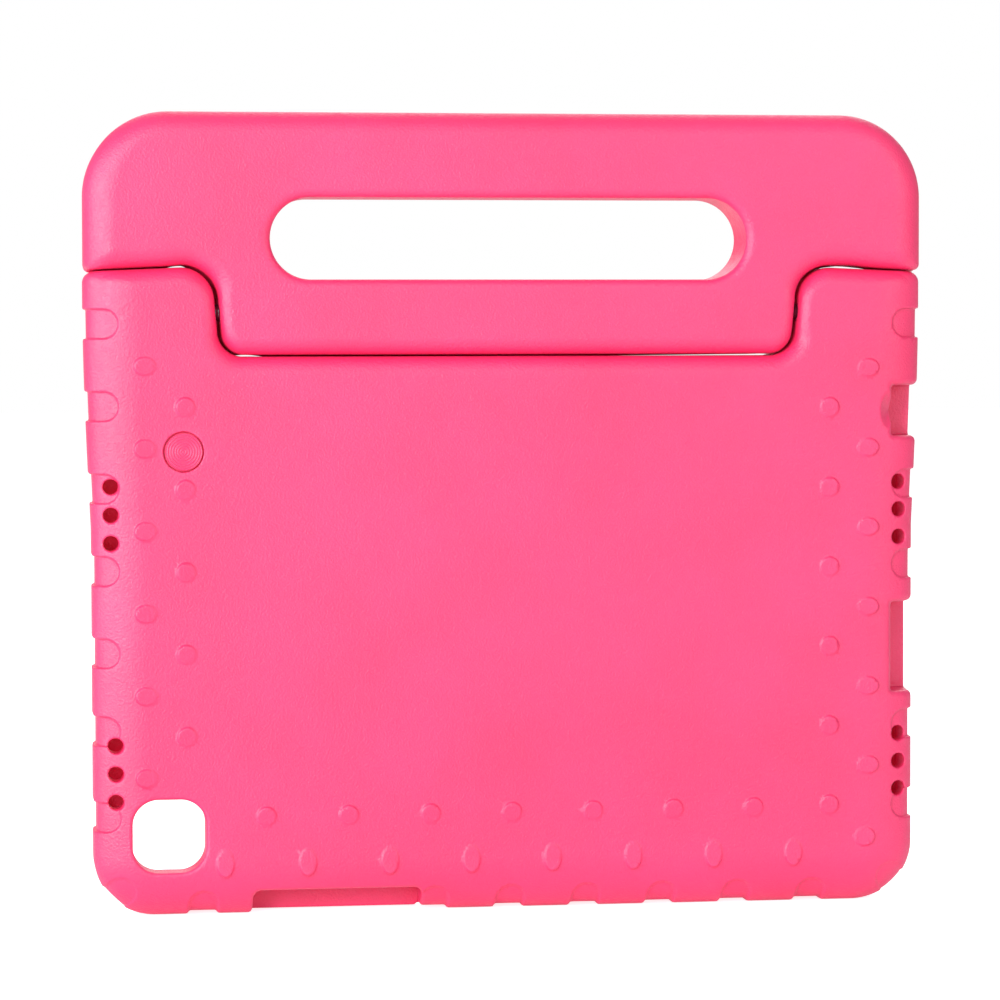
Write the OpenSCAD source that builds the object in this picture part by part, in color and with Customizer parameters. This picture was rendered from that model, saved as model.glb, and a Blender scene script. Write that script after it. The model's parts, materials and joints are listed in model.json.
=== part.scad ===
// Moulded foam case for a tablet, with a carry handle that swings back to make a stand.
// It stands on its long bottom edge: X runs along its width, +Z is up to the handle,
// the closed back faces -Y and the tablet's screen faces +Y.
// Outlines are drawn in the X-Z plane. Depth is counted from the back face towards +Y.

/* [Tablet] */
// Width of the tablet that the case holds
tablet_w = 247.6; // [240:0.2:260]
// Height of the tablet
tablet_h = 157.4; // [150:0.2:165]
// Thickness of the tablet
tablet_t = 7; // [6:0.5:8]
// Corner radius of the tablet
tablet_corner_r = 7; // [4:0.5:10]

/* [Case body] */
// Foam on the left, on the right and under the tablet
wall = 8; // [7.5:0.5:10]
// Foam between the tablet and the seam of the handle
top_wall = 11; // [10:0.5:14]
// Overall thickness of case and handle
thickness = 24; // [23:0.5:28]
// Foam behind the tablet
back_t = 10.5; // [9.5:0.5:12]
// How far the front lip laps over the tablet
lip_lap = 3; // [2:0.5:5]
// Corner radius of the outline at the bottom
corner_r = 19.3; // [18.5:0.1:24]
// Width over the shoulders, where the sides flare out
shoulder_w = 268.1; // [265:0.1:274]
// Height at which the sides start to flare out
flare_start = 130; // [122:1:137]
// Height at which the flare is complete
flare_end = 164; // [156:1:166]
// How far the rounded back edge reaches in from the outline
edge_in = 17; // [10:0.5:18]
// How deep the rounded back edge reaches
edge_deep = 8; // [5:0.5:9]
// Radius of the front edge
front_edge_r = 4; // [2:0.5:5]

/* [Handle] */
// Width of the handle
handle_w = 267.8; // [265:0.1:274]
// Height of the handle above the shoulders
handle_rise = 49.8; // [45:0.1:60]
// Corner radius of the handle's outline
handle_corner_r = 25; // [20:0.5:30]
// How far the handle's rounded back edge reaches in
handle_edge_in = 12; // [8:0.5:16]
// Length of the finger slot
slot_l = 151.6; // [120:0.2:156]
// Width of the finger slot
slot_w = 26.1; // [22:0.1:29]
// Foam between the seam and the slot
slot_rise = 23.6; // [22:0.1:27]
// Radius of the slot's edges
slot_edge_r = 3; // [1:0.5:4]

/* [Seam between handle and body] */
// Height of the shoulders above the seam
shoulder_h = 27.6; // [26:0.2:32]
// Half width of the recess between the shoulders
recess_half_w = 93; // [89:0.5:96]
// Corner radius at the inner top of a shoulder
shoulder_r = 10; // [9:0.5:11]
// Corner radius of the tongue's lower corners
tongue_r = 6.5; // [6.2:0.1:8]
// Radius of the seam's back edges
seam_edge_r = 6; // [5:0.5:6]
// Radius of the seam's front edges
seam_front_r = 3; // [2:0.5:4]
// Gap along the level parts of the seam
gap_level = 0.5; // [0.4:0.1:1]
// Gap at the tongue's sides
gap_side = 1; // [0.9:0.1:1.5]

/* [Hinge] */
// Depth of the hinge axis below the back face
hinge_depth = 6; // [6:0.1:6.5]
// Radius of the hinge pin
pin_r = 1.8; // [1.5:0.1:2]
// Radial clearance of the pin in its sleeve
pin_clearance = 0.05; // [0.01:0.01:0.1]
// Outer radius of sleeve and anchor
sleeve_r = 3; // [2.8:0.1:3.2]
// Radius of their necks, which end at the gap below the rounded edges of the foam
neck_r = 2.4; // [2.3:0.1:2.6]
// Length of their necks
neck_l = 1.6; // [1.2:0.1:2]
// Length of the sleeve in the shoulder
sleeve_l = 14; // [10:1:20]
// Length of the anchor in the tongue
anchor_l = 16; // [14:1:20]
// Thickness of the washer between the necks
washer_t = 0.8; // [0.5:0.1:0.8]

/* [Back relief] */
// Spacing of the studs and notches along the sides
relief_pitch = 25.8; // [24:0.1:26]
// Spacing of the studs along the bottom
bottom_pitch = 26; // [24:0.1:27]
// Spacing of the notches along the bottom
bottom_notch_pitch = 24.4; // [24:0.1:25]
// Radius of a stud
stud_r = 3; // [2:0.1:3.5]
// How far a stud stands proud of the back
stud_h = 0.8; // [0.5:0.1:1]
// Width of an edge notch
notch_w = 8.5; // [6:0.1:10]
// Depth of an edge notch
notch_deep = 1.1; // [0.8:0.1:1.5]

/* [Openings] */
// Side of the square camera opening
camera_w = 23.5; // [18:0.5:24]
// Corner radius of the camera opening
camera_r = 7.8; // [4:0.2:9]
// Radius of a speaker hole
speaker_r = 2.2; // [1.5:0.1:2.4]
// Spacing of the speaker holes
speaker_pitch = 9; // [8:0.1:11]

/* [Hidden] */
$fn = 64;

foam_pink = [0.99, 0.38, 0.58];
hinge_plastic = [0.4, 0.06, 0.17];
pin_steel = [0.72, 0.73, 0.75];
ring_rubber = [0.09, 0.09, 0.1];

// Outline sizes
body_w = tablet_w + 2 * wall;
seam_z = wall + tablet_h + top_wall;
shoulder_z = seam_z + shoulder_h;
total_h = shoulder_z + handle_rise;
// The studs count in the box, so the back face lies half of their height nearer the middle.
back_y = (stud_h - thickness) / 2;
past = 1;
hinge_z = seam_z + shoulder_h / 2;

// Points along a quarter of an ellipse edge, from the outline's flank to its face.
// u runs into the foam from the outline, and the second value is the depth.
back_steps = 8;
front_steps = 4;
function back_edge(reach, deep) = [
    for (i = [0 : back_steps])
        let (a = 90 * i / back_steps) [reach * (1 - cos(a)), deep * (1 - sin(a))]
];
function front_edge(r) = [
    for (i = [front_steps : -1 : 0])
        let (a = 90 * i / front_steps) [r * (1 - cos(a)), thickness - r * (1 - sin(a))]
];
// A rim: u = 0 is the outline and u = width lies in the foam.
function rim(width, reach, deep, front_r) = concat(
    [for (p = back_edge(reach, deep)) if (p[0] < width) p],
    [[width, 0], [width, thickness]],
    front_edge(front_r)
);
function seam_rim(width) = rim(width, seam_edge_r, seam_edge_r, seam_front_r);
// A slab of width w with the same edge on both flanks.
function slab_half(w, sx, reach, deep, front_r) = concat(
    [for (p = front_edge(front_r)) [sx * (w / 2 - p[0]), p[1]]],
    [for (p = back_edge(reach, deep)) [sx * (w / 2 - p[0]), p[1]]]
);
function backwards(points) = [for (i = [len(points) - 1 : -1 : 0]) points[i]];
function slab(w, reach, deep, front_r) = concat(
    slab_half(w, 1, reach, deep, front_r),
    backwards(slab_half(w, -1, reach, deep, front_r))
);

module both_sides() {
    children();
    mirror([1, 0, 0]) children();
}
// Extrudes a profile of [u, depth] for a length in direction a, counted from +X towards +Z,
// with u to the right of the direction of travel.
module run(from, a, length) {
    translate([from[0], 0, from[1]]) rotate([0, 90 - a, 0]) linear_extrude(length) children();
}
// Turns a profile of [radius, depth] about centre, from angle a0 to angle a1.
module turn(centre, a0, a1) {
    translate([centre[0], 0, centre[1]])
        rotate([-90, 0, 0]) rotate([0, 0, -a1]) rotate_extrude(angle = a1 - a0) children();
}
// Draws an X-Z outline through the depths d0 to d1.
module sheet_of(d0, d1) {
    translate([0, d1, 0]) rotate([90, 0, 0]) linear_extrude(d1 - d0) children();
}
module box(x0, x1, d0, d1, z0, z1) {
    translate([x0, d0, z0]) cube([x1 - x0, d1 - d0, z1 - z0]);
}
// A block in the X-Z plane with round corners, centred on x, z.
module rounded_block(x, z, w, h, r, d0, d1) {
    box(x - w / 2 + r, x + w / 2 - r, d0, d1, z - h / 2, z + h / 2);
    box(x - w / 2, x + w / 2, d0, d1, z - h / 2 + r, z + h / 2 - r);
    for (sx = [-1, 1], sz = [-1, 1]) {
        translate([x + sx * (w / 2 - r), d1, z + sz * (h / 2 - r)])
            rotate([90, 0, 0]) cylinder(r = r, h = d1 - d0);
    }
}

// The seam, on the right half: a level line, the recess's upright side and the shoulder's top.
// offset is [across the side, up the level lines], which separates the handle from the body.
// facing is 1 for the body, which lies below and beside the seam, and -1 for the handle.
// It draws everything on that side of the seam, up to far_z, without the outer edges.
rim_w = 10;
fill_in = 8;
turn_w = 16;
module seam_side(offset, low_r, high_r, facing, far_z) {
    side_x = recess_half_w - offset[0];
    low_z = seam_z + offset[1];
    high_z = shoulder_z + offset[1];
    far_x = shoulder_w / 2 + rim_w;
    edge = [for (p = seam_rim(rim_w)) [facing * p[0], p[1]]];
    low_edge = [for (p = seam_rim(facing > 0 ? turn_w : low_r)) [low_r + facing * p[0], p[1]]];
    high_edge = [for (p = seam_rim(facing > 0 ? high_r : turn_w)) [high_r - facing * p[0], p[1]]];
    fill_x = side_x + facing * fill_in;
    fill_low = low_z - facing * fill_in;
    fill_high = high_z - facing * fill_in;
    both_sides() {
        run([0, low_z], 0, side_x - low_r) polygon(edge);
        turn([side_x - low_r, low_z + low_r], -90, 0) polygon(low_edge);
        run([side_x, low_z + low_r], 90, high_z - low_z - low_r - high_r) polygon(edge);
        turn([side_x + high_r, high_z - high_r], 90, 180) polygon(high_edge);
        run([side_x + high_r, high_z], 0, far_x - side_x - high_r) polygon(edge);
    }
    fill_half = [[fill_x, fill_low], [fill_x, fill_high], [far_x, fill_high], [far_x, far_z]];
    sheet_of(0, thickness)
        polygon(concat(fill_half, [for (p = backwards(fill_half)) [-p[0], p[1]]]));
}

// The body's outer form, cut off level above the shoulders.
module body_outer() {
    flank = slab(body_w, edge_in, edge_deep, front_edge_r);
    shoulder_flank = slab(shoulder_w, edge_in, edge_deep, front_edge_r);
    corner = rim(corner_r, edge_in, edge_deep, front_edge_r);
    corner_x = body_w / 2 - corner_r;
    translate([0, 0, corner_r]) linear_extrude(flare_start - corner_r) polygon(flank);
    hull() {
        translate([0, 0, flare_start - past]) linear_extrude(past) polygon(flank);
        translate([0, 0, flare_end]) linear_extrude(shoulder_z + past - flare_end)
            polygon(shoulder_flank);
    }
    run([-corner_x, 0], 0, 2 * corner_x) polygon([for (p = corner) [-p[0], p[1]]]);
    both_sides() {
        turn([corner_x, corner_r], -90, 0) polygon([for (p = corner) [corner_r - p[0], p[1]]]);
    }
}

// The handle's outer form, cut off level below the tongue.
module handle_outer() {
    flank = slab(handle_w, handle_edge_in, edge_deep, front_edge_r);
    corner = rim(handle_corner_r, handle_edge_in, edge_deep, front_edge_r);
    corner_x = handle_w / 2 - handle_corner_r;
    corner_z = total_h - handle_corner_r;
    translate([0, 0, seam_z - past]) linear_extrude(corner_z - seam_z + past) polygon(flank);
    run([-corner_x, total_h], 0, 2 * corner_x) polygon(corner);
    both_sides() {
        turn([corner_x, corner_z], 0, 90)
            polygon([for (p = corner) [handle_corner_r - p[0], p[1]]]);
    }
}

// Finger slot with rounded edges on both faces.
module finger_slot() {
    r = slot_w / 2;
    z = seam_z + slot_rise + r;
    half = slot_l / 2 - r;
    edge = back_edge(slot_edge_r, slot_edge_r);
    side = concat(
        [[r + slot_edge_r, -past]],
        [for (p = backwards(edge)) [r + p[0], p[1]]],
        [for (p = edge) [r + p[0], thickness - p[1]]],
        [[r + slot_edge_r, thickness + past]]
    );
    run([-half, z], 0, 2 * half)
        polygon(concat(side, backwards([for (p = side) [-p[0], p[1]]])));
    both_sides() {
        turn([half, z], -90, 90)
            polygon(concat([[0, -past]], side, [[0, thickness + past]]));
    }
}

// Relief of the back: low studs in two staggered rows, and notches along the edges.
top_notch_z = 186.7;
side_notches = 7;
no_notch_right = [1, 4];
bottom_notches = [-4, -1, 0, 1, 2, 3, 4];
outer_row_x = 115.4;
inner_row_x = 103.5;
outer_row_z = 17.2;
inner_row_z = top_notch_z - (side_notches - 1) * relief_pitch;
corner_stud = [114.4, 21.3];
outer_studs = 6;
left_inner_studs = 5;
right_inner_studs = 6;
bottom_outer_studs = 8;
bottom_inner_studs = 7;
stud_places = concat(
    [for (k = [0 : outer_studs - 1], sx = [-1, 1])
        [sx * outer_row_x, top_notch_z - (k + 0.5) * relief_pitch]],
    [for (k = [1 : left_inner_studs]) [-inner_row_x, top_notch_z - k * relief_pitch]],
    [for (k = [1 : right_inner_studs]) [inner_row_x, top_notch_z - k * relief_pitch]],
    [for (k = [0 : bottom_outer_studs - 1])
        [(k - (bottom_outer_studs - 1) / 2) * bottom_pitch, outer_row_z]],
    [for (k = [0 : bottom_inner_studs - 1])
        [(k - (bottom_inner_studs - 1) / 2) * bottom_pitch, inner_row_z]],
    [corner_stud]
);
module studs() {
    ball_r = (stud_r * stud_r + stud_h * stud_h) / (2 * stud_h);
    for (p = stud_places) translate([p[0], ball_r - stud_h, p[1]]) sphere(ball_r);
}
function half_width_at(z) =
    let (t = min(1, max(0, (z - flare_start) / (flare_end - flare_start))))
    body_w / 2 + t * (shoulder_w - body_w) / 2;
module edge_notches() {
    r = (notch_w * notch_w / 4 + notch_deep * notch_deep) / (2 * notch_deep);
    out = r - notch_deep;
    for (k = [0 : side_notches - 1], sx = [-1, 1]) {
        z = top_notch_z - k * relief_pitch;
        if (sx < 0 || len(search(k, no_notch_right)) == 0) {
            translate([sx * (half_width_at(z) + out), thickness + past, z])
                rotate([90, 0, 0]) cylinder(r = r, h = thickness + 2 * past);
        }
    }
    for (k = bottom_notches) {
        translate([k * bottom_notch_pitch, thickness + past, -out])
            rotate([90, 0, 0]) cylinder(r = r, h = thickness + 2 * past);
    }
}

// Tablet bay, screen window and the openings for the tablet's parts.
tablet_z = wall + tablet_h / 2;
lip_depth = back_t + tablet_t;
window_r = 5;
camera_at = [-109.1, 25.5];
usb_span = [68.2, 97];
jack_span = [151.5, 168.4];
button_span = [-82, -28.4];
button_h = 7.1;
lip_shy = 0.3;
module tablet_bay() {
    rounded_block(0, tablet_z, tablet_w, tablet_h, tablet_corner_r, back_t, lip_depth);
    rounded_block(0, tablet_z, tablet_w - 2 * lip_lap, tablet_h - 2 * lip_lap, window_r,
        lip_depth - past, thickness + past);
}
module side_port(span) {
    edge = body_w / 2;
    bay = tablet_w / 2;
    box(bay - past, edge + rim_w, -past, lip_depth, span[0], span[1]);
    box(edge - lip_shy, edge + rim_w, -past, thickness + past, span[0], span[1]);
}
module button_port() {
    box(button_span[0], button_span[1], -past, lip_depth, -past, button_h);
    box(button_span[0], button_span[1], back_t, lip_depth, -past, wall + past);
    box(button_span[0], button_span[1], -past, thickness + past, -past, lip_shy);
}

// Groups of sound holes in the rounded edge, each group over a pocket beside the bay.
speaker_x = 126;
speaker_groups = [45.2, 127.5];
pocket_wall = 2.5;
pocket_margin = 0.5;
module speaker_holes() {
    pocket_x = speaker_x + speaker_r + pocket_margin;
    pocket_h = 2 * (speaker_pitch + speaker_r + pocket_margin);
    for (z = speaker_groups) both_sides() {
        for (k = [-1 : 1]) {
            translate([speaker_x, back_t + past, z + k * speaker_pitch])
                rotate([90, 0, 0]) cylinder(r = speaker_r, h = back_t + 2 * past);
        }
        box(tablet_w / 2 - past, pocket_x, back_t, lip_depth - pocket_wall,
            z - pocket_h / 2, z + pocket_h / 2);
    }
}

// Ring groove around the round injection mark on the back.
gate_at = [-104.7, 146.7];
gate_r = 6.5;
gate_groove_w = 0.7;
gate_groove_deep = 0.6;
module gate_groove() {
    translate([gate_at[0], gate_groove_deep, gate_at[1]]) rotate([90, 0, 0]) difference() {
        cylinder(r = gate_r, h = gate_groove_deep + past);
        translate([0, 0, -past])
            cylinder(r = gate_r - gate_groove_w, h = gate_groove_deep + past * 3);
    }
}

// Hinge, drawn for the right side along +X with its axis on the X axis.
tongue_half_w = recess_half_w - gap_side;
head_gap = 0.3;
head_r = 3;
head_t = 1.6;
head_room = 0.3;
sleeve_end = recess_half_w + sleeve_l;
bore_end_wall = 1.5;
pin_end = tongue_half_w - anchor_l + bore_end_wall;
fin_l = 10;
fin_back = 2;
fin_h = 12;
fin_t = 1.2;
ring_wire_r = 0.33;
ring_centre_r = 1.5;
ring_x = recess_half_w + sleeve_l / 2;
groove_w = 0.9;
module on_hinge() {
    translate([0, hinge_depth, hinge_z]) children();
}
module rod(x0, x1, r) {
    translate([x0, 0, 0]) rotate([0, 90, 0]) cylinder(r = r, h = x1 - x0);
}
module sleeve_form() {
    rod(recess_half_w, sleeve_end, neck_r);
    rod(recess_half_w + neck_l, sleeve_end, sleeve_r);
}
module anchor_form() {
    rod(tongue_half_w - anchor_l, tongue_half_w, neck_r);
    rod(tongue_half_w - anchor_l, tongue_half_w - neck_l, sleeve_r);
    translate([tongue_half_w - neck_l - fin_back - fin_l, -fin_t / 2, -fin_h / 2])
        cube([fin_l, fin_t, fin_h]);
}
module hinge_sleeve() {
    difference() {
        sleeve_form();
        rod(recess_half_w - past, sleeve_end + past, pin_r + pin_clearance);
    }
}
module hinge_anchor() {
    difference() {
        anchor_form();
        rod(pin_end, tongue_half_w + past, pin_r);
    }
}
module hinge_pin() {
    difference() {
        union() {
            rod(pin_end, sleeve_end + head_gap + past, pin_r);
            rod(sleeve_end + head_gap, sleeve_end + head_gap + head_t, head_r);
        }
        difference() {
            rod(ring_x - groove_w / 2, ring_x + groove_w / 2, pin_r + past);
            rod(ring_x - groove_w, ring_x + groove_w, ring_centre_r - ring_wire_r);
        }
    }
}
washer_shy = 0.1;
module hinge_washer() {
    slack = (gap_side - washer_t) / 2;
    difference() {
        rod(tongue_half_w + slack, recess_half_w - slack, neck_r - washer_shy);
        rod(tongue_half_w, recess_half_w, pin_r + pin_clearance);
    }
}
module friction_ring() {
    translate([ring_x, 0, 0]) rotate([0, 90, 0])
        rotate_extrude() translate([ring_centre_r, 0]) circle(ring_wire_r, $fn = 24);
}

module case_body() color(foam_pink) {
    translate([0, back_y, 0]) difference() {
        union() {
            intersection() {
                body_outer();
                seam_side([0, 0], tongue_r + gap_side, shoulder_r, 1, -past);
            }
            studs();
        }
        edge_notches();
        tablet_bay();
        rounded_block(camera_at[0], camera_at[1], camera_w, camera_w, camera_r,
            -past, back_t + past);
        side_port(usb_span);
        side_port(jack_span);
        button_port();
        speaker_holes();
        gate_groove();
        both_sides() on_hinge() {
            sleeve_form();
            rod(tongue_half_w, recess_half_w + past / 2, neck_r);
            rod(sleeve_end - past, sleeve_end + head_gap + head_t + head_room, head_r + head_room);
        }
    }
}
module handle() color(foam_pink) {
    translate([0, back_y, 0]) difference() {
        intersection() {
            handle_outer();
            seam_side([gap_side, gap_level], tongue_r, shoulder_r + gap_level, -1, total_h + past);
        }
        finger_slot();
        both_sides() on_hinge() {
            anchor_form();
            rod(tongue_half_w - past / 2, recess_half_w, neck_r);
        }
    }
}
// Places a right-hand hinge piece, or mirrors it to the left.
module hinge_side(side) {
    translate([0, back_y, 0]) on_hinge() {
        if (side == "right") children();
        if (side == "left") mirror([1, 0, 0]) children();
    }
}
module hinge_sleeve_at(side) color(hinge_plastic) hinge_side(side) hinge_sleeve();
module hinge_anchor_at(side) color(hinge_plastic) hinge_side(side) hinge_anchor();
module hinge_pin_at(side) color(pin_steel) hinge_side(side) hinge_pin();
module hinge_washer_at(side) color(hinge_plastic) hinge_side(side) hinge_washer();
module friction_ring_at(side) color(ring_rubber) hinge_side(side) friction_ring();

case_body();
handle();
for (side = ["left", "right"]) {
    hinge_sleeve_at(side);
    hinge_anchor_at(side);
    hinge_pin_at(side);
    hinge_washer_at(side);
    friction_ring_at(side);
}
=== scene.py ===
"""Looks of a moulded foam tablet case with a carry handle that swings back as a stand.

The two foam mouldings are worked out as distance fields, meshed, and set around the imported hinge
parts. Sizes are in millimetres until a mesh is made. In the fields x runs along the case's width,
d is the depth below its flat back, and z is the height.
"""

import json
import math

import bpy
import numpy as np
import openvdb
from mathutils import Matrix, Vector


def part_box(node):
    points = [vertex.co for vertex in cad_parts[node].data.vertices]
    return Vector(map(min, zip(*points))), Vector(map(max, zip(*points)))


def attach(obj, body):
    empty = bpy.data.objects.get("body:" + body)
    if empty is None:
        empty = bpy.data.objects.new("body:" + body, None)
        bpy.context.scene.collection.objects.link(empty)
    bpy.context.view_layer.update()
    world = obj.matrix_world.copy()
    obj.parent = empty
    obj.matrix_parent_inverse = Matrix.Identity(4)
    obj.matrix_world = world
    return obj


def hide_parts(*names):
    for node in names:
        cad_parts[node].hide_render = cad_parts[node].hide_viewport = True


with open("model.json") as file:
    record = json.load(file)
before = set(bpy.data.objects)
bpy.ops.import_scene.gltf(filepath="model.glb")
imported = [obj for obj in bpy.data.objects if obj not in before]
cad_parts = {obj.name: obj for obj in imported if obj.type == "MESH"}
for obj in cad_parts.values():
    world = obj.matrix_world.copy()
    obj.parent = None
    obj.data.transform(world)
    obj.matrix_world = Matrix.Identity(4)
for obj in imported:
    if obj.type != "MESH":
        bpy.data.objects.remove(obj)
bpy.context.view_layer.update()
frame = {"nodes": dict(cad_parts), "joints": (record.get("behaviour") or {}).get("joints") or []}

MM = 0.001


def box_mm(node):
    """Lowest and highest corner of a CAD node, in millimetres."""
    return [[c / MM for c in corner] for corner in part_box(node)]


# ------------------------------------------------------------------ sizes
CASE_HI = box_mm("case_body")[1]
HANDLE_LO, HANDLE_HI = box_mm("handle")
SLEEVE_LO, SLEEVE_HI = box_mm("hinge_sleeve_right")
ANCHOR_LO, ANCHOR_HI = box_mm("hinge_anchor_right")
HINGE_Y, HINGE_Z = (c / MM for c in frame["joints"][0]["pos_m"][1:])

BACK_Y = HANDLE_LO[1]
THICK = HANDLE_HI[1] - BACK_Y
HINGE_D = HINGE_Y - BACK_Y

# Outline of the body, and the tablet's bay in it
SHOULDER_OUT = 2.25
HALF_SHOULDER = CASE_HI[0]
HALF_BODY = HALF_SHOULDER - SHOULDER_OUT
FLARE = (122, 198)
CORNER_R = 19.3
WALL = 8
TABLET_W, TABLET_H, TABLET_R = 247.6, 157.4, 7
TABLET_Z = WALL + TABLET_H / 2
BAY_D, LIP_D = 10.5, 17.5
BAY_MID_D, BAY_EDGE_R = (BAY_D + LIP_D) / 2, 0.6
LIP_LAP, LIP_EDGE_R = 3, 2
WINDOW_R = 5

# Seam between body and handle
SEAM_GAP = 0.5
TONGUE_SLACK = 0.25
SIDE_GAP = SLEEVE_LO[0] - ANCHOR_HI[0]
SIDE_SWELL, LEVEL_SWELL, SWELL_D, SWELL_HALF_D = 1.1, 0.8, 15, 3
SEAM_Z = HANDLE_LO[2] - SEAM_GAP
RECESS_HALF = SLEEVE_LO[0]
SHOULDER_Z = CASE_HI[2]
SHOULDER_MID = 112.5
TONGUE_LEAN = math.radians(5)
SHOULDER_FALL = math.radians(2.5)
TONGUE_R, SHOULDER_R = 6.5, 10

# Where the level stretches of the seam let light through: distance from the middle, half width,
# and for those above the shoulders how much wider the gap is there
LOW_OPEN, LOW_OPEN_HALF, LOW_OPEN_END, LOW_OPEN_FADE = 82, 5.5, 84, 95
LEFT_OPEN, LEFT_OPEN_HALF, LEFT_OPEN_GAP = 103, 3.5, 0.4
RIGHT_OPEN, RIGHT_OPEN_HALF, RIGHT_OPEN_GAP = 110, 7, 0.9

# Outline of the handle and its finger slot
HALF_HANDLE = HANDLE_HI[0]
TOP_LOWER = 0.6
TOP_Z = HANDLE_HI[2] - TOP_LOWER
HANDLE_R = 26.5
SLOT_HALF, SLOT_R, SLOT_Z, SLOT_EDGE_R = 75.8, 12.7, 213.4, 3

# Rounded edges: how far they reach in from the outline, how deep, and their radii where two meet
BODY_REACH = 17
BODY_DEEP_SIDE, BODY_DEEP_BOTTOM = 10, 13
HANDLE_REACH_SIDE, HANDLE_REACH_TOP = 10, 8
HANDLE_DEEP_SIDE, HANDLE_DEEP_TOP = 9, 8
SEAM_EDGE_R, HINGE_EDGE_R = 6, 4.2
HINGE_EDGE_NEAR, HINGE_EDGE_FADE = 3, 9
BODY_MITRE_R, HANDLE_MITRE_R = 3.3, 2
FRONT_R, SEAM_FRONT_R = 4, 3

# Relief of the back: leaning studs, and notches round the edge, numbered by their pitches
PITCH, RIGHT_PITCH = 25.8, 25.5
BOTTOM_PITCH = 26
BOTTOM_NOTCH_PITCH = 24.4
TOP_NOTCH_Z = 186.7
STUD_H, STUD_SOFT = 0.8, 0.5
STUD_MID, STUD_LEAN, STUD_LEAST = 0.62, 0.38, 0.05
OUTER_STUD_X, INNER_STUD_X = 115.4, 102.8
LEFT_STUD_TOP, RIGHT_STUD_TOP, STUD_STEP = 173.5, 172.4, 12.9
LOW_STUD_Z, HIGH_STUD_Z = 17.2, 31.9
NOTCH_R, NOTCH_REACH, NOTCH_DEEP = 4.6, 8.3, 1
SIDE_NOTCH_FOOT, SIDE_NOTCH_RIM = 0.4, 0.5
LOW_NOTCH_FOOT, CORNER_NOTCH_FOOT, LOW_NOTCH_RIM = 0.9, 0.6, 0.7
LEFT_NOTCHES, RIGHT_NOTCHES = (0, 1, 2, 3, 4, 4.95, 6), (0, 2, 3, 5, 6)
LOW_NOTCHES = (-4, -1, 0, 1, 2, 3, 4)
CORNER_CUT, CORNER_SINK = 0.9, 0.4

# Openings. The pockets beside the bay let the speakers and buttons through. The lower left holes
# stand a little further in, and the earphone opening has a bowl round it.
CAMERA_X, CAMERA_Z, CAMERA_HALF, CAMERA_R, CAMERA_EDGE_R = -108.4, 26.1, 11.5, 8.1, 1.2
SPEAKER_X, SPEAKER_R, SPEAKER_PITCH, SPEAKER_EDGE_R = 126, 2.4, 8.85, 0.7
SPEAKER_GROUPS = (45.7, 126.9)
LOW_LEFT_IN = 1.1
POCKET_HALF, PAST_FLOOR = 12, 2
PORT_X = TABLET_W / 2 - 0.3
PORT_EDGE_R, PORT_BACK_R, PORT_TURN_D, PORT_TURN = 0.7, 2, 15.5, 3
LIP_SHY, LIP_SHY_R = 0.05, 0.8
USB_Z, USB_HALF = 82.6, 14.4
JACK_Z, JACK_HALF = 158.6, 8.1
BOWL_HALF_X, BOWL_HALF_Z, BOWL_DEEP, BOWL_EDGE_R = 4.2, 7.1, 6, 0.5
BUTTON_X, BUTTON_HALF, BUTTON_H, BUTTON_R, BUTTON_EDGE_R = -55.2, 26.8, 8.2, 2.7, 1.2
BUTTON_NECK_R, BUTTON_SHAVE, BUTTON_SHAVE_R = 0.4, 0.3, 0.5
BELOW_EDGE, BESIDE_EDGE = 5, 15

# Round injection mark: its well in the foam, and the ringed disc in that
GATE_X, GATE_Z, GATE_R = -103.4, 146.7, 6.35
GATE_GROOVE, GATE_DEEP, GATE_EDGE_R = 0.55, 1.5, 0.25
GATE_RINGS, GATE_RING_D, GATE_RING_WAVE = 7, 0.16, 0.13
GATE_RIM, GATE_RIM_D, GATE_FOOT_D = 0.05, 0.35, 2

# Hinge parts in the foam
NECK_L, NECK_R, SLEEVE_R, HEAD_R, HEAD_L = 1.6, 2.4, 3, 3.3, 2.2


# ------------------------------------------------------------------ field tools
def meet(a, b, r):
    """What lies in both a and b, its outer edge rounded."""
    corner = np.hypot(np.maximum(a + r, 0), np.maximum(b + r, 0))
    return np.minimum(-r, np.maximum(a, b)) + corner


def join(a, b, r):
    """What lies in a or b, the corner between them filled."""
    corner = np.hypot(np.maximum(r - a, 0), np.maximum(r - b, 0))
    return np.maximum(r, np.minimum(a, b)) - corner


def round_edge(u, d, reach, deep):
    """A flat face, d = 0, that turns along a quarter of an ellipse into a flank, u = 0."""
    across, down = reach - u, deep - d
    ratio = np.hypot(across / reach, down / deep)
    slope = np.hypot(across / reach**2, down / deep**2)
    curved = ratio * (ratio - 1) / np.maximum(slope, 1e-6)
    return np.where((across > 0) & (down > 0), curved, np.maximum(-u, -d))


def round_edges(edges, d, corner_r):
    """The solid under several rounded edges of one face, smooth where two edges meet."""
    level = np.minimum(d, corner_r)
    total = sum(np.square(np.maximum(e + level, 0)) for e in edges)
    return np.sqrt(total) - level


def rounded_rect(x, z, half_w, half_h, r):
    """Distance to a rectangle with round corners."""
    qx, qz = np.abs(x) - half_w + r, np.abs(z) - half_h + r
    outside = np.hypot(np.maximum(qx, 0), np.maximum(qz, 0))
    return outside + np.minimum(np.maximum(qx, qz), 0) - r


def turn_share(across, down):
    """0 beside a corner's centre and 1 above or below it, smooth round the corner."""
    a, b = np.square(np.maximum(across, 0)), np.square(np.maximum(down, 0))
    return b / (a + b + 1e-6)


def mix(a, b, t):
    """a where t is 0, b where it is 1."""
    return a + (b - a) * t


def hump(value, middle, half):
    """1 at the middle, falling smoothly to nothing past it."""
    return np.exp(-np.square((value - middle) / half))


def smooth(t):
    """0 to 1 with a soft start and end."""
    t = np.clip(t, 0, 1)
    return t * t * (3 - 2 * t)


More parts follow.
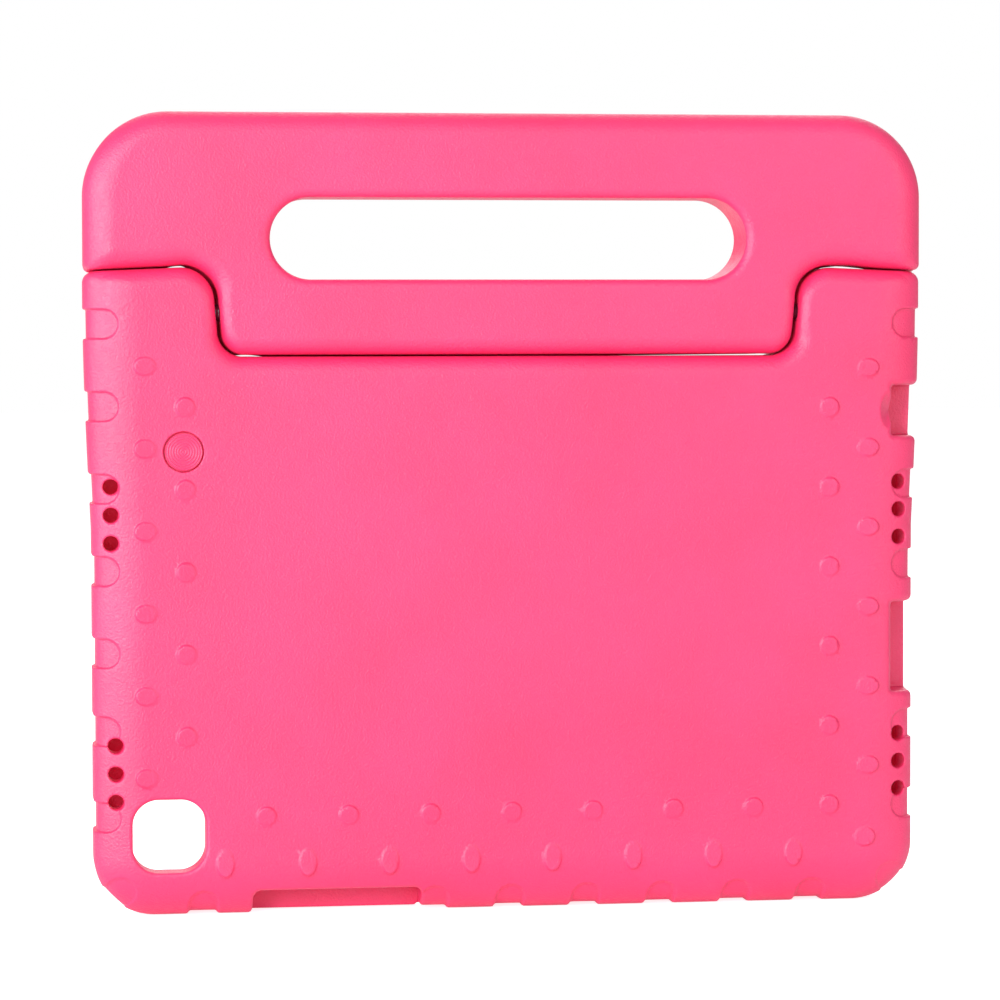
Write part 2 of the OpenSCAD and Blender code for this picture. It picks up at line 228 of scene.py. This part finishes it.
def along_x(x, d, z, x0, x1, r):
    """A rod on the hinge axis, from x0 to x1 on both sides of the middle."""
    radial = np.hypot(d - HINGE_D, z - HINGE_Z) - r
    return np.maximum(radial, np.abs(np.abs(x) - (x0 + x1) / 2) - (x1 - x0) / 2)


def seam(x, d, z, side_gap, level_gap, low_r, high_r):
    """Distance from the seam, negative on the body's side of it.

    The faces swell a little in mid-depth, one into the other, which keeps daylight out of the
    seam. Where it is open, its level stretches don't swell.
    """
    swell = hump(d, SWELL_D, SWELL_HALF_D)
    ax = np.abs(x) - SIDE_SWELL * swell
    towards_right = np.clip(x / LOW_OPEN_FADE, 0, 1) * (ax < LOW_OPEN_END)
    open_low = np.maximum(hump(ax, LOW_OPEN, LOW_OPEN_HALF), towards_right)
    left, right = hump(ax, LEFT_OPEN, LEFT_OPEN_HALF), hump(ax, RIGHT_OPEN, RIGHT_OPEN_HALF)
    open_high = np.where(x < 0, left, right)
    z = z + LEVEL_SWELL * swell * np.where(z > HINGE_Z, 1 - open_high, 1 - open_low)
    widened = np.where(x < 0, LEFT_OPEN_GAP, RIGHT_OPEN_GAP) * open_high * (z > HINGE_Z)
    level_gap = level_gap * (1 + widened)
    side_x = RECESS_HALF - side_gap + (z - HINGE_Z) * math.tan(TONGUE_LEAN)
    side = (side_x - ax) * math.cos(TONGUE_LEAN)
    top_z = SHOULDER_Z + level_gap + (SHOULDER_MID - ax) * math.tan(SHOULDER_FALL)
    top = (z - top_z) * math.cos(SHOULDER_FALL)
    return join(z - level_gap - SEAM_Z, meet(side, top, high_r), low_r)


def seam_edge_r(z):
    """Radius of the seam's back edges: tighter beside the hinge, whose necks stay under the foam."""
    past = (np.abs(z - HINGE_Z) - HINGE_EDGE_NEAR) / HINGE_EDGE_FADE
    return mix(HINGE_EDGE_R, SEAM_EDGE_R, smooth(past))


def moulding(outline, line, d, reach, deep, edge_r, mitre_r):
    """The solid inside an outline and on one side of the seam, all its edges rounded."""
    up = THICK - d
    back = round_edges([round_edge(-outline, d, reach, deep),
                        round_edge(-line, d, edge_r, edge_r)], d, mitre_r)
    front = round_edges([round_edge(-outline, up, FRONT_R, FRONT_R),
                         round_edge(-line, up, SEAM_FRONT_R, SEAM_FRONT_R)], up, mitre_r)
    return np.maximum(back, front)


# ------------------------------------------------------------------ the body
def stud_list():
    """Each stud as centre, half width, half height and the direction of its high side."""
    studs = []
    for side, top, pitch, rows in ((-1, LEFT_STUD_TOP, PITCH, 5), (1, RIGHT_STUD_TOP, RIGHT_PITCH, 6)):
        studs += [(side * OUTER_STUD_X, top - k * pitch, 3.4, 2.8, side, 0) for k in range(6)]
        inner = [top + STUD_STEP - k * pitch for k in range(1, rows + 1)]
        studs += [(side * INNER_STUD_X, height, 3, 3, side * 0.7, 0.7) for height in inner]
    studs.append((114.4, 21.8, 3.3, 3, 0.8, -0.6))
    studs += [((k - 3.5) * BOTTOM_PITCH, LOW_STUD_Z, 2.7, 4.3, 0, -1) for k in range(8)]
    studs += [((k - 3) * BOTTOM_PITCH, HIGH_STUD_Z, 3, 3, 0, 1) for k in range(7)]
    return studs


def stud_relief(x, z):
    """Distance to the nearest stud's outline, and how high its top stands there."""
    near = np.full(np.broadcast(x, z).shape, 1e3, np.float32)
    height = np.zeros_like(near)
    for sx, sz, half_w, half_h, high_x, high_z in stud_list():
        px, pz = x - sx, z - sz
        outline = (np.hypot(px / half_w, pz / half_h) - 1) * min(half_w, half_h)
        slope = px * high_x / half_w + pz * high_z / half_h
        top = STUD_H * np.clip(STUD_MID + STUD_LEAN * slope, STUD_LEAST, 1)
        closer = outline < near
        near = np.where(closer, outline, near)
        height = np.where(closer, top, height)
    return near, height


def notch_mask(s, u):
    """A round-ended slot that runs in from the edge: s is the distance along the edge."""
    return np.hypot(s, np.maximum(u - (NOTCH_REACH - NOTCH_R), 0)) - NOTCH_R


def nearest(value, places):
    """Distance to the nearest of several places along one axis."""
    return np.minimum.reduce([np.abs(value - p) for p in places])


def body_half_width(z):
    """Half the body's width at a height: it widens towards the shoulders."""
    t = np.clip((z - FLARE[0]) / (FLARE[1] - FLARE[0]), 0, 1)
    return mix(HALF_BODY, HALF_SHOULDER, np.sin(t * math.pi / 2))


def body_field(x, d, z):
    """The case's foam body."""
    ax = np.abs(x)
    half_w = body_half_width(z)
    outline = meet(ax - half_w, -z, CORNER_R)
    line = seam(x, d, z, 0, 0, TONGUE_R + SIDE_GAP, SHOULDER_R)
    bottom = turn_share(ax - half_w + CORNER_R, CORNER_R - z)
    deep = mix(BODY_DEEP_SIDE, BODY_DEEP_BOTTOM, bottom)
    foam = moulding(outline, line, d, BODY_REACH, deep, seam_edge_r(z), BODY_MITRE_R)
    foam = cut_notches(foam, x, z)
    foam = add_studs(foam, x, d, z)
    foam = cut_bay(foam, x, d, z)
    foam = cut_speakers(foam, x, d, z)
    foam = cut_side_ports(foam, x, d, z)
    foam = cut_buttons(foam, x, d, z)
    gate = np.maximum(np.hypot(x - GATE_X, z - GATE_Z) - GATE_R, d - GATE_DEEP)
    foam = meet(foam, -gate, GATE_EDGE_R)
    neck = along_x(x, d, z, SLEEVE_LO[0] - 1, SLEEVE_HI[0], NECK_R)
    sleeve = along_x(x, d, z, SLEEVE_LO[0] + NECK_L, SLEEVE_HI[0], SLEEVE_R)
    head = along_x(x, d, z, SLEEVE_HI[0] - 1, SLEEVE_HI[0] + HEAD_L, HEAD_R)
    return np.maximum(foam, -np.minimum(np.minimum(sleeve, neck), head))


def cut_notches(foam, x, z):
    """Shallow notches round the edge, and the two cut corners at the bottom."""
    ax = np.abs(x)
    left = nearest(z, [TOP_NOTCH_Z - k * PITCH for k in LEFT_NOTCHES])
    right = nearest(z, [TOP_NOTCH_Z - k * PITCH for k in RIGHT_NOTCHES])
    side_notch = notch_mask(np.where(x < 0, left, right), HALF_BODY - ax)
    low_notch = notch_mask(nearest(x, [k * BOTTOM_NOTCH_PITCH for k in LOW_NOTCHES]), z)
    cx, cz = ax - body_half_width(z) + CORNER_R, CORNER_R - z
    diagonal = (cx + cz) / math.sqrt(2)
    corner_notch = notch_mask((cx - cz) / math.sqrt(2), CORNER_R - diagonal)
    corner_floor = np.maximum(foam + CORNER_SINK, diagonal - CORNER_R + CORNER_CUT)
    hollowed = foam + NOTCH_DEEP
    foam = meet(foam, join(hollowed, -side_notch, SIDE_NOTCH_FOOT), SIDE_NOTCH_RIM)
    foam = meet(foam, join(hollowed, -low_notch, LOW_NOTCH_FOOT), LOW_NOTCH_RIM)
    return meet(foam, join(corner_floor, -corner_notch, CORNER_NOTCH_FOOT), LOW_NOTCH_RIM)


def add_studs(foam, x, d, z):
    """Low studs in rows along the sides and the bottom."""
    near, height = stud_relief(x, z)
    stud = meet(np.maximum(near, d - BODY_DEEP_SIDE), -d - height, STUD_SOFT)
    return join(foam, stud, STUD_SOFT)


def cut_bay(foam, x, d, z):
    """The tablet's bay, the window in front of it and the camera opening behind it."""
    bay = rounded_rect(x, z - TABLET_Z, TABLET_W / 2, TABLET_H / 2, TABLET_R)
    bay = np.maximum(bay, np.maximum(BAY_D - d, d - LIP_D))
    foam = meet(foam, -bay, BAY_EDGE_R)
    window = rounded_rect(x, z - TABLET_Z, TABLET_W / 2 - LIP_LAP, TABLET_H / 2 - LIP_LAP, WINDOW_R)
    foam = meet(foam, -np.maximum(window, BAY_MID_D - d), LIP_EDGE_R)
    camera = rounded_rect(x - CAMERA_X, z - CAMERA_Z, CAMERA_HALF, CAMERA_HALF, CAMERA_R)
    return meet(foam, -np.maximum(camera, d - BAY_MID_D), CAMERA_EDGE_R)


def cut_speakers(foam, x, d, z):
    """Three round holes on each side in each group, over a pocket beside the bay."""
    heights = [g + k * SPEAKER_PITCH for g in SPEAKER_GROUPS for k in (-1, 0, 1)]
    ax = np.abs(x) + np.where((x < 0) & (z < TABLET_Z), LOW_LEFT_IN, 0)
    holes = np.hypot(ax - SPEAKER_X, nearest(z, heights)) - SPEAKER_R
    foam = meet(foam, -np.maximum(holes, d - BAY_D - PAST_FLOOR), SPEAKER_EDGE_R)
    inner, outer = TABLET_W / 2 - 1, SPEAKER_X + SPEAKER_R + 0.5
    across, along = ax - (inner + outer) / 2, nearest(z, SPEAKER_GROUPS)
    pocket = rounded_rect(across, along, (outer - inner) / 2, POCKET_HALF, 1)
    return np.maximum(foam, -np.maximum(pocket, np.maximum(BAY_D - d, d - LIP_D)))


def side_cut(x, z, centre_z, half, x0, r):
    """Outline of an opening in the right side, from x0 outwards."""
    return rounded_rect(x - x0 - BESIDE_EDGE, z - centre_z, BESIDE_EDGE, half, r)


def cut_side_ports(foam, x, d, z):
    """Openings for the charging plug and the earphone plug."""
    edge_r = mix(PORT_EDGE_R, PORT_BACK_R, np.clip((PORT_TURN_D - d) / PORT_TURN, 0, 1))
    for centre, half in ((USB_Z, USB_HALF), (JACK_Z, JACK_HALF)):
        port = side_cut(x, z, centre, half, PORT_X, 1)
        foam = meet(foam, -np.maximum(port, d - LIP_D), edge_r)
        shaved = side_cut(x, z, centre, half, body_half_width(z) - LIP_SHY, 1)
        foam = meet(foam, -shaved, LIP_SHY_R)
    oval = np.hypot((x - PORT_X) / BOWL_HALF_X, (z - JACK_Z) / BOWL_HALF_Z)
    bowl = oval - 1 + np.maximum(d, 0) / BOWL_DEEP
    return meet(foam, -bowl * BOWL_HALF_X, BOWL_EDGE_R)


def cut_buttons(foam, x, d, z):
    """Opening for the power and volume buttons in the bottom edge."""
    port = rounded_rect(x - BUTTON_X, z + BELOW_EDGE, BUTTON_HALF, BELOW_EDGE + BUTTON_H, BUTTON_R)
    foam = meet(foam, -np.maximum(port, d - LIP_D), BUTTON_EDGE_R)
    neck = rounded_rect(x - BUTTON_X, z, BUTTON_HALF, WALL + 1, 1)
    foam = meet(foam, -np.maximum(neck, np.maximum(BAY_D - d, d - LIP_D)), BUTTON_NECK_R)
    shaved = rounded_rect(x - BUTTON_X, z + BELOW_EDGE, BUTTON_HALF, BELOW_EDGE + BUTTON_SHAVE, 1)
    return meet(foam, -shaved, BUTTON_SHAVE_R)


# ------------------------------------------------------------------ the handle
def handle_field(x, d, z):
    """The foam handle with its finger slot."""
    ax = np.abs(x)
    outline = meet(ax - HALF_HANDLE, z - TOP_Z, HANDLE_R)
    line = -seam(x, d, z, SIDE_GAP + TONGUE_SLACK, SEAM_GAP, TONGUE_R, SHOULDER_R + SEAM_GAP)
    top = turn_share(ax - HALF_HANDLE + HANDLE_R, z - TOP_Z + HANDLE_R)
    reach = mix(HANDLE_REACH_SIDE, HANDLE_REACH_TOP, top)
    deep = mix(HANDLE_DEEP_SIDE, HANDLE_DEEP_TOP, top)
    foam = moulding(outline, line, d, reach, deep, seam_edge_r(z), HANDLE_MITRE_R)
    slot = np.hypot(np.maximum(ax - SLOT_HALF + SLOT_R, 0), z - SLOT_Z) - SLOT_R
    foam = meet(foam, -slot, SLOT_EDGE_R)
    anchor = along_x(x, d, z, ANCHOR_LO[0], ANCHOR_HI[0] - NECK_L, SLEEVE_R)
    neck = along_x(x, d, z, ANCHOR_LO[0], ANCHOR_HI[0] + 1, NECK_R)
    return np.maximum(foam, -np.minimum(anchor, neck))


# ------------------------------------------------------------------ meshing
# The grid is filled a slab at a time. FEEL is how far a point looks round it for edges and hollows.
VOXEL = 0.45
ADAPTIVITY = 0.004
SLAB = 32
BAND = 2
MARGIN = 1.8
SLOPE_STEP, NORMAL_STEP = 0.05, 0.08
FEEL = 1.5


def slopes(field, points, step):
    """The field's gradient at points, by central differences."""
    columns = []
    for axis in range(3):
        shift = np.zeros(3)
        shift[axis] = step
        ahead, behind = field(*(points + shift).T), field(*(points - shift).T)
        columns.append((ahead - behind) / (2 * step))
    return np.stack(columns, 1)


def unit(vectors):
    """The same vectors, each of length 1."""
    return vectors / np.maximum(np.linalg.norm(vectors, axis=1, keepdims=True), 1e-9)


def surface_of(field, lo, hi):
    """Points and faces of a field's zero surface, the points moved onto it exactly."""
    x, d, z = (np.arange(a, b, VOXEL, dtype=np.float32) for a, b in zip(lo, hi))
    values = np.empty((len(x), len(d), len(z)), np.float32)
    for start in range(0, len(z), SLAB):
        part = z[start:start + SLAB]
        values[:, :, start:start + SLAB] = field(x[:, None, None], d[None, :, None], part[None, None, :])
    grid = openvdb.FloatGrid(float(BAND))
    grid.copyFromArray(np.clip(values, -BAND, BAND), tolerance=0.0)
    points, triangles, quads = grid.convertToPolygons(isovalue=0.0, adaptivity=ADAPTIVITY)
    points = points.astype(float) * VOXEL + np.array([x[0], d[0], z[0]], float)
    for _ in range(2):
        slope = slopes(field, points, SLOPE_STEP)
        move = field(*points.T) / np.maximum(np.square(slope).sum(1), 0.2)
        points -= slope * np.clip(move, -VOXEL / 2, VOXEL / 2)[:, None]
    return points, triangles.tolist() + quads.tolist()


def foam_piece(name, field, lo, hi, material):
    """A foam moulding as a mesh object, with its edge wear and the mask for the painted shade in its
    hollows as attributes.
    """
    points, faces = surface_of(field, lo, hi)
    normals = unit(slopes(field, points, NORMAL_STEP))
    bulge = (field(*(points - FEEL * normals).T) + FEEL) / FEEL
    # How hollow the surface is round each point: the mask for the painted shade in hollows, creases and
    # holes.
    hollow_shade = (FEEL - field(*(points + FEEL * normals).T)) / FEEL
    mesh = bpy.data.meshes.new(name)
    placed = (points + np.array([0, BACK_Y, 0])) * MM
    mesh.from_pydata(placed.tolist(), [], faces)
    mesh.validate()
    mesh.shade_smooth()
    mesh.normals_split_custom_set_from_vertices(normals.tolist())
    for label, amount in (("edge", bulge), ("hollow_shade", hollow_shade)):
        mesh.attributes.new(label, "FLOAT", "POINT").data.foreach_set(
            "value", np.clip(amount, 0, 1).astype(np.float32))
    mesh.materials.append(material)
    piece = bpy.data.objects.new(name, mesh)
    bpy.context.scene.collection.objects.link(piece)
    return piece


# ------------------------------------------------------------------ materials
class Nodes:
    """A short way to write a material's node tree."""

    def __init__(self, name):
        self.material = bpy.data.materials.new(name)
        self.material.use_nodes = True
        self.tree = self.material.node_tree
        self.shader = self.tree.nodes["Principled BSDF"]
        self.place = self.add("ShaderNodeTexCoord").outputs["Object"]

    def add(self, kind, **settings):
        node = self.tree.nodes.new(kind)
        for key, value in settings.items():
            setattr(node, key, value)
        return node

    def feed(self, socket, value):
        if isinstance(value, bpy.types.NodeSocket):
            self.tree.links.new(value, socket)
        else:
            socket.default_value = value

    def noise(self, size_mm, detail=2.0, roughness=0.5):
        node = self.add("ShaderNodeTexNoise")
        self.feed(node.inputs["Vector"], self.place)
        node.inputs["Scale"].default_value = 1 / (size_mm * MM)
        node.inputs["Detail"].default_value = detail
        node.inputs["Roughness"].default_value = roughness
        return node.outputs["Fac"]

    def cells(self, size_mm):
        node = self.add("ShaderNodeTexVoronoi", feature="SMOOTH_F1")
        self.feed(node.inputs["Vector"], self.place)
        node.inputs["Scale"].default_value = 1 / (size_mm * MM)
        return node.outputs["Distance"]

    def attribute(self, name):
        return self.add("ShaderNodeAttribute", attribute_name=name).outputs["Fac"]

    def math(self, operation, a, b=0.0):
        node = self.add("ShaderNodeMath", operation=operation)
        self.feed(node.inputs[0], a)
        self.feed(node.inputs[1], b)
        return node.outputs[0]

    def span(self, value, low, high, from_low=0.0, from_high=1.0):
        node = self.add("ShaderNodeMapRange")
        self.feed(node.inputs["Value"], value)
        node.inputs["From Min"].default_value = from_low
        node.inputs["From Max"].default_value = from_high
        node.inputs["To Min"].default_value = low
        node.inputs["To Max"].default_value = high
        return node.outputs["Result"]

    def blend(self, share, a, b):
        node = self.add("ShaderNodeMix", data_type="RGBA")
        self.feed(node.inputs["Factor"], share)
        self.feed(node.inputs["A"], a)
        self.feed(node.inputs["B"], b)
        return node.outputs["Result"]

    def bump(self, height, distance_mm, strength, below=None):
        node = self.add("ShaderNodeBump")
        node.inputs["Strength"].default_value = strength
        node.inputs["Distance"].default_value = distance_mm * MM
        self.feed(node.inputs["Height"], height)
        if below is not None:
            self.feed(node.inputs["Normal"], below)
        return node.outputs["Normal"]


def rgb(red, green, blue):
    """An sRGB colour as a linear one."""
    def linear(c):
        c /= 255
        return c / 12.92 if c <= 0.04045 else ((c + 0.055) / 1.055) ** 2.4
    return (linear(red), linear(green), linear(blue), 1)


def eva_foam():
    """Moulded foam: a pebbled skin, paler where it is rubbed, with painted shade darkening its hollows."""
    n = Nodes("eva_foam")
    cloud = n.noise(38, 3)
    colour = n.blend(n.span(cloud, 0, 1, 0.3, 0.7), rgb(235, 44, 102), rgb(240, 50, 111))
    rub = n.math("MULTIPLY", n.attribute("edge"), n.span(n.noise(5, 4), 0, 1, 0.35, 0.7))
    colour = n.blend(n.span(rub, 0, 0.25), colour, rgb(246, 92, 142))
    # Painted shade: hollows, creases and holes are darkened towards deep crimson, standing in for the
    # shade that falls in them.
    painted_shade = n.math("MULTIPLY", n.attribute("hollow_shade"), n.span(n.noise(9, 3), 0.2, 0.6))
    colour = n.blend(n.span(painted_shade, 0, 0.3), colour, rgb(170, 26, 68))
    n.feed(n.shader.inputs["Base Color"], colour)
    n.feed(n.shader.inputs["Roughness"], n.span(n.noise(2.2, 3), 0.38, 0.5, 0.3, 0.7))
    n.shader.inputs["Specular IOR Level"].default_value = 0.8
    pebble = n.bump(n.cells(0.7), 0.13, 0.85)
    grain = n.bump(n.noise(0.45, 3), 0.15, 0.85, pebble)
    wave = n.bump(n.noise(14, 2), 0.25, 0.12, grain)
    n.feed(n.shader.inputs["Normal"], wave)
    return n.material


def nylon(name, dark, light):
    """A dull plastic or rubber, its colour clouded from dark to light."""
    n = Nodes(name)
    n.feed(n.shader.inputs["Base Color"], n.blend(n.noise(2.5, 4), dark, light))
    n.feed(n.shader.inputs["Roughness"], n.span(n.noise(0.8, 3), 0.7, 0.85))
    n.shader.inputs["Specular IOR Level"].default_value = 0.15
    n.feed(n.shader.inputs["Normal"], n.bump(n.noise(0.3, 3), 0.02, 0.4))
    return n.material


def steel():
    """Turned steel, with fine rings round the pin."""
    n = Nodes("pin_steel")
    turned = n.add("ShaderNodeTexWave", wave_type="BANDS", bands_direction="X")
    n.feed(turned.inputs["Vector"], n.place)
    turned.inputs["Scale"].default_value = 1 / (0.5 * MM)
    turned.inputs["Distortion"].default_value = 1.2
    n.feed(n.shader.inputs["Base Color"], n.blend(n.noise(2, 3), rgb(198, 199, 202), rgb(224, 225, 228)))
    n.shader.inputs["Metallic"].default_value = 1
    n.feed(n.shader.inputs["Roughness"], n.span(turned.outputs["Fac"], 0.22, 0.36))
    n.feed(n.shader.inputs["Normal"], n.bump(turned.outputs["Fac"], 0.004, 0.3))
    return n.material


FOAM = eva_foam()
# Painted shade: the hinge sleeves, anchors and washers are coloured the dark crimson of the shade in the
# seam, so they don't show in the gap.
SLEEVE_SHADE_NYLON = nylon("hinge_plastic", rgb(78, 9, 30), rgb(92, 13, 38))
WASHER_SHADE_NYLON = nylon("washer_plastic", rgb(72, 8, 28), rgb(86, 12, 35))
RING_RUBBER = nylon("ring_rubber", rgb(16, 16, 17), rgb(30, 30, 31))
STEEL = steel()
for kind, skin in (("hinge_sleeve", SLEEVE_SHADE_NYLON), ("hinge_anchor", SLEEVE_SHADE_NYLON), ("hinge_pin", STEEL),
                   ("hinge_washer", WASHER_SHADE_NYLON), ("friction_ring", RING_RUBBER)):
    for side in ("left", "right"):
        fitting = frame["nodes"][f"{kind}_{side}"]
        fitting.data.materials.clear()
        fitting.data.materials.append(skin)


# ------------------------------------------------------------------ pieces
def gate_mark():
    """The round injection mark: a low disc with fine turned rings."""
    spokes, steps = 96, GATE_RINGS * 8
    outer = GATE_R - GATE_GROOVE
    profile = []
    for i in range(steps + 1):
        wave = GATE_RING_WAVE * math.cos(2 * math.pi * GATE_RINGS * i / steps)
        profile.append((outer * i / steps, GATE_RING_D - wave))
    profile += [(outer + GATE_RIM, GATE_RIM_D), (outer + GATE_RIM, GATE_FOOT_D)]
    points = [(0, profile[0][1], 0)]
    turns = [2 * math.pi * k / spokes for k in range(spokes)]
    for r, d in profile[1:]:
        points += [(r * math.cos(turn), d, r * math.sin(turn)) for turn in turns]
    faces = [(0, 1 + k, 1 + (k + 1) % spokes) for k in range(spokes)]
    for row in range(len(profile) - 2):
        base = 1 + row * spokes
        faces += [(base + k, base + spokes + k, base + spokes + (k + 1) % spokes, base + (k + 1) % spokes)
                  for k in range(spokes)]
    last = 1 + (len(profile) - 2) * spokes
    faces.append(tuple(range(last, last + spokes)))
    mesh = bpy.data.meshes.new("gate_mark")
    mesh.from_pydata([((GATE_X + px) * MM, (BACK_Y + pd) * MM, (GATE_Z + pz) * MM)
                      for px, pd, pz in points], [], faces)
    mesh.validate()
    mesh.shade_smooth()
    mesh.materials.append(FOAM)
    piece = bpy.data.objects.new("gate_mark", mesh)
    bpy.context.scene.collection.objects.link(piece)
    return piece


case_foam = foam_piece("case_foam", body_field,
                       (-HALF_SHOULDER - MARGIN, -STUD_H - MARGIN, -MARGIN),
                       (HALF_SHOULDER + MARGIN, THICK + MARGIN, SHOULDER_Z + 1 + MARGIN), FOAM)
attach(case_foam, "case")
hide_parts("case_body")

handle_foam = foam_piece("handle_foam", handle_field,
                         (-HALF_HANDLE - MARGIN, -MARGIN, SEAM_Z - MARGIN),
                         (HALF_HANDLE + MARGIN, THICK + MARGIN, TOP_Z + MARGIN), FOAM)
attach(handle_foam, "handle")
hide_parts("handle")

mark = gate_mark()
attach(mark, "case")


# ------------------------------------------------------------------ studio
def pale_floor():
    """A floor that looks white to the camera and gives off little light of its own."""
    n = Nodes("floor")
    n.shader.inputs["Base Color"].default_value = (0.8, 0.8, 0.8, 1)
    n.shader.inputs["Roughness"].default_value = 0.9
    n.shader.inputs["Emission Color"].default_value = (1, 1, 1, 1)
    seen = n.add("ShaderNodeLightPath").outputs["Is Camera Ray"]
    n.feed(n.shader.inputs["Emission Strength"], n.span(seen, 0.2, 0.8))
    return n.material


def studio():
    """A pale floor, a white surround and soft lights."""
    bpy.ops.mesh.primitive_plane_add(size=12, location=(0, 3, 0))
    floor = bpy.context.object
    floor.name = "floor"
    floor.data.materials.append(pale_floor())
    world = bpy.data.worlds.new("surround")
    bpy.context.scene.world = world
    world.use_nodes = True
    nodes, links = world.node_tree.nodes, world.node_tree.links
    seen = nodes["Background"]
    seen.inputs["Color"].default_value = (1, 1, 1, 1)
    seen.inputs["Strength"].default_value = 1.0
    lit = nodes.new("ShaderNodeBackground")
    lit.inputs["Color"].default_value = (1, 1, 1, 1)
    lit.inputs["Strength"].default_value = 0.4
    path, pick = nodes.new("ShaderNodeLightPath"), nodes.new("ShaderNodeMixShader")
    links.new(path.outputs["Is Camera Ray"], pick.inputs["Fac"])
    links.new(lit.outputs["Background"], pick.inputs[1])
    links.new(seen.outputs["Background"], pick.inputs[2])
    links.new(pick.outputs["Shader"], nodes["World Output"].inputs["Surface"])


def soft_light(name, place, aim, size, power):
    """A square soft box at place, in metres, turned towards aim."""
    light = bpy.data.lights.new(name, "AREA")
    light.size = size
    light.energy = power
    lamp = bpy.data.objects.new(name, light)
    lamp.location = place
    lamp.rotation_euler = (Vector(aim) - Vector(place)).to_track_quat("-Z", "Y").to_euler()
    bpy.context.scene.collection.objects.link(lamp)


studio()
CENTRE = (0, 0, TOP_Z / 2 * MM)
soft_light("key", (-0.95, -1.45, 0.5), CENTRE, 0.6, 17)
soft_light("side", (-1.4, -0.5, 0.4), CENTRE, 0.8, 12.5)
soft_light("front", (-0.2, -1.6, 1.4), CENTRE, 1.0, 6)
soft_light("right", (1.05, -1.3, 0.6), CENTRE, 0.7, 6.5)
soft_light("behind", (0.3, 1.6, 1.2), CENTRE, 1.6, 14)


# ------------------------------------------------------------------ camera
def make_camera():
    """The view of the photograph: from the back, a little from the left and above."""
    azimuth, elevation, roll = math.radians(-7.95), math.radians(2.33), math.radians(0.14)
    distance = 1.2
    aim = Vector((-3.7 * MM, BACK_Y * MM, 130.9 * MM))
    back = Vector((math.sin(azimuth) * math.cos(elevation), -math.cos(azimuth) * math.cos(elevation),
                   math.sin(elevation)))
    data = bpy.data.cameras.new("camera")
    data.sensor_width = 36
    data.lens = 136.7
    data.clip_start, data.clip_end = 0.05, 50
    camera = bpy.data.objects.new("camera", data)
    turn = (-back).to_track_quat("-Z", "Y").to_matrix().to_4x4()
    camera.matrix_world = Matrix.Translation(aim + back * distance) @ turn @ Matrix.Rotation(-roll, 4, "Z")
    bpy.context.scene.collection.objects.link(camera)
    bpy.context.scene.camera = camera


make_camera()
bpy.context.scene.view_settings.view_transform = "Standard"
